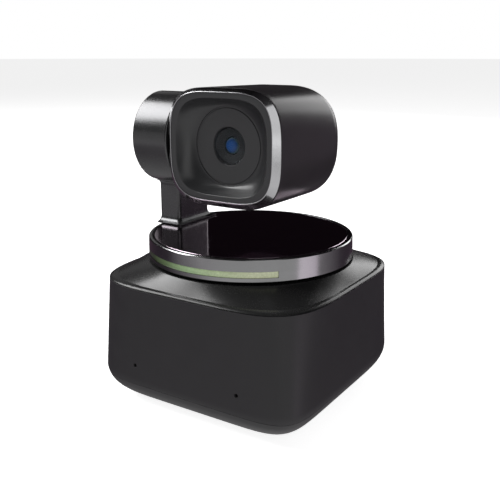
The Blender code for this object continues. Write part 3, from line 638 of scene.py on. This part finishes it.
# =====================================================================
# arm with the tilt housing
# =====================================================================
def arm_section(z, per=9):
    y0, y1, x0, x1 = ARM_Y0, ARM_Y1, ARM_X0, ARM_X1
    h = z - ARM_Z0
    if h < ARM_FLARE:
        q = 1.0 - h / ARM_FLARE
        f = ARM_FLARE * (1.0 - math.sqrt(max(0.0, 1.0 - q * q)))
        y0, y1, x1 = y0 - f, y1 + f, x1 + f
    zc = TILT_Z - math.sqrt(HOUS_R ** 2 - (ARM_Y0 - TILT_Y) ** 2)
    zf = zc - 1.1
    if z > zf:
        q = min(1.0, (z - zf) / 1.1)
        y0 -= 1.1 - math.sqrt(max(0.0, 1.1 ** 2 - (1.1 * q) ** 2))
    cx, cy = 0.5 * (x0 + x1), 0.5 * (y0 + y1)
    a, b = 0.5 * (x1 - x0), 0.5 * (y1 - y0)
    r, out = ARM_CORNER, []
    for sx, sy, a0 in ((1, -1, -90), (1, 1, 0), (-1, 1, 90), (-1, -1, 180)):
        for i in range(per):
            t = math.radians(a0 + 90.0 * i / (per - 1))
            out.append((cx + sx * (a - r) + r * math.cos(t), cy + sy * (b - r) + r * math.sin(t), z))
    return np.array(out)


zc = TILT_Z - math.sqrt(HOUS_R ** 2 - (ARM_Y0 - TILT_Y) ** 2)
az = [ARM_Z0 - 0.2] + [ARM_Z0 + ARM_FLARE * (1 - math.cos(math.radians(d))) for d in (0, 12, 24, 36, 48, 60, 75, 90)] + [37.0, 40.0]
az += [zc - 1.1 + 1.1 * math.sin(math.radians(d)) for d in (0, 15, 30, 45, 60, 72, 82, 89)] + [45.5, 48.0, TILT_Z]
rows = []
for z in az:
    s = arm_section(max(z, ARM_Z0))
    s[:, 2] = z
    rows.append(s)
bm = bmesh.new()
skin(bm, rows)
arm = done("arm_and_housing", bm, MAT["arm"], "turntable", ["arm_housing"])
NH = 160
bm = bmesh.new()
rows = soften([at_x(circ(3.0, NH), HOUS_X0), at_x(circ(HOUS_R, NH), HOUS_X0), at_x(circ(HOUS_R, NH), HOUS_X1),
               at_x(circ(3.0, NH), HOUS_X1)], [0, 0.45, 0.4, 0], 8, closed=False)
skin(bm, rows)
carve(arm, bm, 'UNION', MAT["arm"], 30)
bm = bmesh.new()
skin(bm, [at_x(circ(r, 128), x) for r, x in ((8.32, HOUS_X0 - 1.0), (8.32, -21.38), (8.2, -21.26), (8.2, -20.0), (8.2, -14.1))])
carve(arm, bm, 'DIFFERENCE', MAT["arm"], 30)
bm = bmesh.new()
skin(bm, [at_x(circ(r, 64), x) for r, x in ((4.6, -16.0), (4.6, -13.05), (4.8, -12.8), (4.8, -11.0))])
carve(arm, bm, 'DIFFERENCE', MAT["arm"], 30)
bm = bmesh.new()
for x, y in ((-17.9, -0.7), (-17.9, 4.4)):
    skin(bm, [at_z(circ(1.0, 24), z, x, y) for z in (32.0, 39.0)])
carve(arm, bm, 'DIFFERENCE', MAT["arm"], 30)

bm = bmesh.new()
rows = soften([at_x(circ(0.6, 128), -21.42), at_x(circ(4.5, 128), -21.42), at_x(circ(8.12, 128), -21.38),
               at_x(circ(8.12, 128), -20.5), at_x(circ(0.6, 128), -20.5)], [0, 0, 0.12, 0.05, 0], 5, closed=False)
skin(bm, rows)
cap = done("housing_cap", bm, MAT["arm"], "turntable", ["tilt_housing_cap"])

# =====================================================================
# head
# =====================================================================
NHD = 208


def head_ring(y, inset=0.0, ya=None):
    f = (min(max(y, HEAD_YS), HEAD_YR) - HEAD_YS) / (HEAD_YR - HEAD_YS)
    left = HEAD_LEFT0 + (HEAD_LEFT1 - HEAD_LEFT0) * f
    right = HEAD_RIGHT0 + (HEAD_RIGHT1 - HEAD_RIGHT0) * f
    c = HEAD_HALFH0 + (HEAD_HALFH1 - HEAD_HALFH0) * f
    m = HEAD_EXP0 + (HEAD_EXP1 - HEAD_EXP0) * f
    rear = 0.0
    if y > HEAD_YR:
        q = min(1.0, (y - HEAD_YR) / HEAD_RR)
        rear = HEAD_RR * (1.0 - math.sqrt(max(0.0, 1.0 - q * q)))
    a = 0.5 * (right - left) - inset - rear
    c = c - inset - rear
    drop = HEAD_DROP0 + (HEAD_DROP1 - HEAD_DROP0) * f
    return at_y(polar(a, c, c, m, NHD), y if ya is None else ya, 0.5 * (left + right), TILT_Z - drop)


def front_ring(a, c, m, y):
    return at_y(polar(a, c, c, m, NHD), y)


y0 = HEAD_YS + SEAM
rows = [head_ring(y) for y in (y0, -10.4, -9.0, -6.0, -3.0, 0.0, 2.5, 4.5, 6.0, HEAD_YR)]
rad = [0.07] + [0] * (len(rows) - 1)
for d in (6, 12, 18, 25, 32, 40, 48, 56, 64, 72, 80, 86, 90):
    rows.append(head_ring(HEAD_YR + HEAD_RR * math.sin(math.radians(d))))
    rad.append(0)
last = rows[-1]
cen = last.mean(0)
for f in (0.66, 0.33, 0.08):
    rows.append(cen + (last - cen) * f)
    rad.append(0)
inner = [head_ring(y, 1.1) for y in (y0, 0.0, 6.8)]
for d in (30, 60, 88):
    y = HEAD_YR + HEAD_RR * math.sin(math.radians(d))
    inner.append(head_ring(y, 1.1, y - 1.1))
rows = list(reversed(inner)) + rows
rad = [0] * len(inner) + rad
bm = bmesh.new()
skin(bm, soften(rows, rad, closed=False))
head = done("head_body", bm, MAT["head"], "head", ["head_shell"])
bm = bmesh.new()
skin(bm, [at_x(circ(2.5, 48), x) for x in (-15.0, -9.0)])
carve(head, bm, mat=MAT["head"])

FR = (11.62, 10.28, 3.5)
bm = bmesh.new()
rows = [front_ring(*FR, HEAD_YF), head_ring(HEAD_YS), head_ring(HEAD_YS, 0.25, HEAD_YS + 0.05), head_ring(HEAD_YS, 1.2, HEAD_YS + 0.3),
        front_ring(11.5, 10.16, 3.5, HEAD_YS + 0.3), front_ring(11.5, 10.16, 3.5, HEAD_YF + 0.03)]
skin(bm, soften(rows, [0.22, 0.10, 0.0, 0.0, 0.0, 0.03], 6), loop=True)
bezel = done("head_bezel", bm, MAT["bezel"], "head", ["front_bezel"])


def dish_mix(t, y, f=1.0):
    sq = polar(10.4, 9.12, 9.11, 3.2, NHD)
    return at_y((sq * (1 - t) + circ(7.72, NHD) * t) * f, y)


PANEL_Y = -11.95
dish = [(0.0, PANEL_Y, 0.18), (0.06, -11.62, 0), (0.14, -11.2, 0), (0.24, -10.75, 0), (0.36, -10.3, 0), (0.5, -9.88, 0),
        (0.64, -9.55, 0), (0.77, -9.31, 0), (0.89, -9.15, 0), (1.0, -9.05, 0.1)]
rows, rad = [front_ring(11.47, 10.13, 3.5, PANEL_Y)], [0.04]
for t, y, r in dish:
    rows.append(dish_mix(t, y))
    rad.append(r)
rows += [at_y(circ(r, NHD), y) for r, y in ((7.55, -9.03), (7.5, -8.84), (7.26, -8.84), (7.2, -9.0), (6.6, -8.96), (5.2, -8.88),
                                            (3.72, -8.8), (3.55, -8.6), (3.5, -7.7), (8.3, -7.9))]
rad += [0.05, 0.03, 0.03, 0.05, 0, 0, 0.08, 0, 0, 0]
rows += [front_ring(10.6, 9.3, 3.3, -9.8), front_ring(11.47, 10.13, 3.5, -11.0)]
rad += [0, 0]
bm = bmesh.new()
skin(bm, soften(rows, rad), loop=True)
panel = done("face_panel", bm, MAT["panel"], "head", ["front_panel"])

# lens window: a thin disc with a ground edge
bm = bmesh.new()
rows = [at_y(circ(r, 96), y) for r, y in ((0.3, -8.73), (1.5, -8.71), (2.6, -8.67), (3.25, -8.62), (3.4, -8.56), (3.4, -8.42), (1.5, -8.4), (0.3, -8.4))]
skin(bm, rows)
window = done("window_glass", bm, MAT["window"], "head", ["lens_window"])
window.visible_shadow = False

# barrel: cone with fine stepped baffles in front of the element
bm = bmesh.new()
prof = [(1.72, -7.6), (1.78, -7.78)]
for i in range(5):
    r = 1.86 + 0.29 * i
    y = -7.8 - 0.06 * i
    prof += [(r, y), (r + 0.2, y - 0.02), (r + 0.23, y - 0.035)]
prof += [(3.35, -8.1), (3.35, -7.4), (4.9, -7.4), (4.9, 1.4), (3.2, 1.4), (3.2, -3.6), (1.72, -4.2)]
turned(bm, prof, None, 96, 'y', LENS_X, CZ)
barrel = done("lens_cone", bm, MAT["barrel"], "head", ["lens_barrel"], sharp=25, weighted=False)

bm = bmesh.new()
prof = [(1.65 * math.sin(math.radians(a)), -7.3 - 0.75 * math.cos(math.radians(a))) for a in (3, 10, 20, 30, 40, 50, 60, 70, 80, 90)]
skin(bm, [at_y(circ(r, 64), y) for r, y in prof] + [at_y(circ(1.65, 64), -6.1)])
element = done("front_element", bm, MAT["coated"], "head", ["front_lens"])

# =====================================================================
# CAD nodes that stay: procedural materials
# =====================================================================
KEEP = {
    "steel": ["tray_screw_1", "tray_screw_2", "tray_screw_3", "tray_screw_4", "processor_shield", "usb_c_socket",
              "pan_bearing_outer", "pan_motor_rotor", "pan_bearing_inner", "arm_screw_1", "arm_screw_2",
              "tilt_bearing_outer", "tilt_shaft", "tilt_motor_rotor", "tilt_bearing_inner"],
    "alu": ["inner_frame", "mic_capsule_left", "mic_capsule_right", "pan_stator_hub", "pan_shaft", "tilt_hub_flange",
            "sensor_heat_sink"],
    "brass": ["tripod_nut"],
    "board": ["main_board", "led_board", "sensor_board"],
    "winding": ["pan_motor_stator", "tilt_motor_stator"],
    "barrel": ["lens_holder"],
    "glass": ["rear_lens"],
    "chip": ["image_sensor"],
}
for key, names in KEEP.items():
    for nm in names:
        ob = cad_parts[nm]
        for s in ob.material_slots:
            s.material = MAT[key]

# =====================================================================
# floor, backdrop and lights
# =====================================================================
m = Mat("pale_floor", 0.0, 0.2)
n1 = m.noise(12.0, 3.0)
m.base(m.ramp(n1, [(0.3, (0.78, 0.78, 0.78)), (0.7, (0.82, 0.82, 0.82))]))
m.rough(m.span(m.noise(300.0), 0.7, 0.8))
m.b.inputs["Emission Color"].default_value = (1, 1, 1, 1)
m.b.inputs["Emission Strength"].default_value = 0.86
me = bpy.data.meshes.new("floor")
bm = bmesh.new()
bmesh.ops.create_circle(bm, cap_ends=True, segments=96, radius=6.0)
bm.to_mesh(me)
bm.free()
me.materials.append(m.m)
floor = bpy.data.objects.new("floor", me)
floor.location = (0, 0, -0.0002)
scene.collection.objects.link(floor)
floor.visible_glossy = False
floor.visible_diffuse = False
floor.visible_transmission = False
floor.visible_shadow = False


def softbox(name, direction, distance, width, height, power, target=(0.0, 0.0, 0.035), color=(1, 1, 1), roll=0.0, spread=180.0):
    ld = bpy.data.lights.new(name, 'AREA')
    ld.shape = 'RECTANGLE'
    ld.size, ld.size_y = width, height
    ld.energy = power
    ld.color = color
    ld.spread = math.radians(spread)
    ob = bpy.data.objects.new(name, ld)
    d = Vector(direction).normalized()
    ob.location = Vector(target) + d * distance
    q = (-d).to_track_quat('-Z', 'Y')
    ob.rotation_mode = 'QUATERNION'
    ob.rotation_quaternion = q @ Matrix.Rotation(math.radians(roll), 4, 'Z').to_quaternion()
    scene.collection.objects.link(ob)
    ob.visible_camera = False
    return ob


def watts(radiance, w, h):
    return radiance * math.pi * w * h


def toward(az, el):
    """Direction from azimuth (0 in front, positive to the right) and elevation, in degrees."""
    a, e = math.radians(az), math.radians(el)
    return (math.sin(a) * math.cos(e), -math.cos(a) * math.cos(e), math.sin(e))


softbox("key_left", toward(-73, 41), 0.60, 0.40, 0.28, watts(11.0, 0.40, 0.28))
softbox("rim_rear", toward(172, 20), 0.60, 0.32, 0.30, watts(3.5, 0.32, 0.30), roll=26.0)
softbox("fill_rear_right", toward(143, 3), 0.60, 0.30, 0.28, watts(0.24, 0.30, 0.28), color=(1.0, 0.8, 1.0))
softbox("fill_rear_left", toward(-128, 21), 0.60, 0.20, 0.22, watts(0.22, 0.20, 0.22))
softbox("card_front_left", toward(-38, 0), 0.60, 0.46, 0.26, watts(0.42, 0.46, 0.26))
softbox("card_low_right", toward(97, -17), 0.60, 0.25, 0.25, watts(0.9, 0.25, 0.25), color=(1.0, 0.86, 1.0))
softbox("card_right", toward(49, 21), 0.42, 0.26, 0.46, watts(1.0, 0.26, 0.46), target=(0.013, -0.012, 0.052))

world = bpy.data.worlds.new("studio")
world.use_nodes = True
scene.world = world
wt = world.node_tree
wt.nodes.clear()
out = wt.nodes.new("ShaderNodeOutputWorld")
path = wt.nodes.new("ShaderNodeLightPath")
see = wt.nodes.new("ShaderNodeBackground")
see.inputs["Color"].default_value = (1, 1, 1, 1)
see.inputs["Strength"].default_value = 1.0
amb = wt.nodes.new("ShaderNodeBackground")
amb.inputs["Color"].default_value = (1, 1, 1, 1)
# what the surfaces see: pale ground below, brighter in front than behind, dark room above
tc = wt.nodes.new("ShaderNodeTexCoord")
sep = wt.nodes.new("ShaderNodeSeparateXYZ")
wt.links.new(tc.outputs["Generated"], sep.inputs[0])
zr = wt.nodes.new("ShaderNodeMapRange")
zr.inputs["From Min"].default_value = -1.0
zr.inputs["From Max"].default_value = 1.0
wt.links.new(sep.outputs["Z"], zr.inputs["Value"])
ramp = wt.nodes.new("ShaderNodeValToRGB")
el = ramp.color_ramp.elements
stops = [(0.0, 0.9), (0.25, 0.85), (0.39, 0.8), (0.45, 0.5), (0.49, 0.12), (0.52, 0.06), (0.65, 0.06), (0.9, 0.04), (1.0, 0.05)]
while len(el) < len(stops):
    el.new(0.5)
for e, (p, v) in zip(el, stops):
    e.position = p
    e.color = (v, v, v, 1)
wt.links.new(zr.outputs["Result"], ramp.inputs["Fac"])
dot = wt.nodes.new("ShaderNodeVectorMath")
dot.operation = 'DOT_PRODUCT'
dot.inputs[1].default_value = (0.5 * 0.643, 0.5 * -0.766, 0.0)
wt.links.new(tc.outputs["Generated"], dot.inputs[0])
half = wt.nodes.new("ShaderNodeMath")
half.operation = 'ADD'
half.inputs[1].default_value = 0.5
wt.links.new(dot.outputs["Value"], half.inputs[0])
side = wt.nodes.new("ShaderNodeValToRGB")
el = side.color_ramp.elements
stops = [(0.0, (0.085, 0.05, 0.075)), (0.18, (0.075, 0.055, 0.075)), (0.33, (0.10, 0.08, 0.10)), (0.5, (0.32, 0.29, 0.32)),
         (0.67, (0.58, 0.55, 0.58)), (0.80, (0.92, 0.90, 0.92)), (0.9, (1.0, 1.0, 1.0))]
while len(el) < len(stops):
    el.new(0.5)
for e, (p, c) in zip(el, stops):
    e.position = p
    e.color = (*c, 1)
wt.links.new(half.outputs[0], side.inputs["Fac"])
under = wt.nodes.new("ShaderNodeMapRange")
under.inputs["From Min"].default_value = -0.5
under.inputs["From Max"].default_value = -0.9
wt.links.new(sep.outputs["Z"], under.inputs["Value"])
allround = wt.nodes.new("ShaderNodeMix")
allround.data_type = 'RGBA'
allround.inputs[7].default_value = (0.85, 0.85, 0.85, 1)
wt.links.new(under.outputs["Result"], allround.inputs[0])
wt.links.new(side.outputs["Color"], allround.inputs[6])
wt.links.new(allround.outputs[2], amb.inputs["Color"])
wt.links.new(ramp.outputs["Color"], amb.inputs["Strength"])
mixn = wt.nodes.new("ShaderNodeMixShader")
wt.links.new(path.outputs["Is Camera Ray"], mixn.inputs[0])
wt.links.new(amb.outputs[0], mixn.inputs[1])
wt.links.new(see.outputs[0], mixn.inputs[2])
wt.links.new(mixn.outputs[0], out.inputs[0])
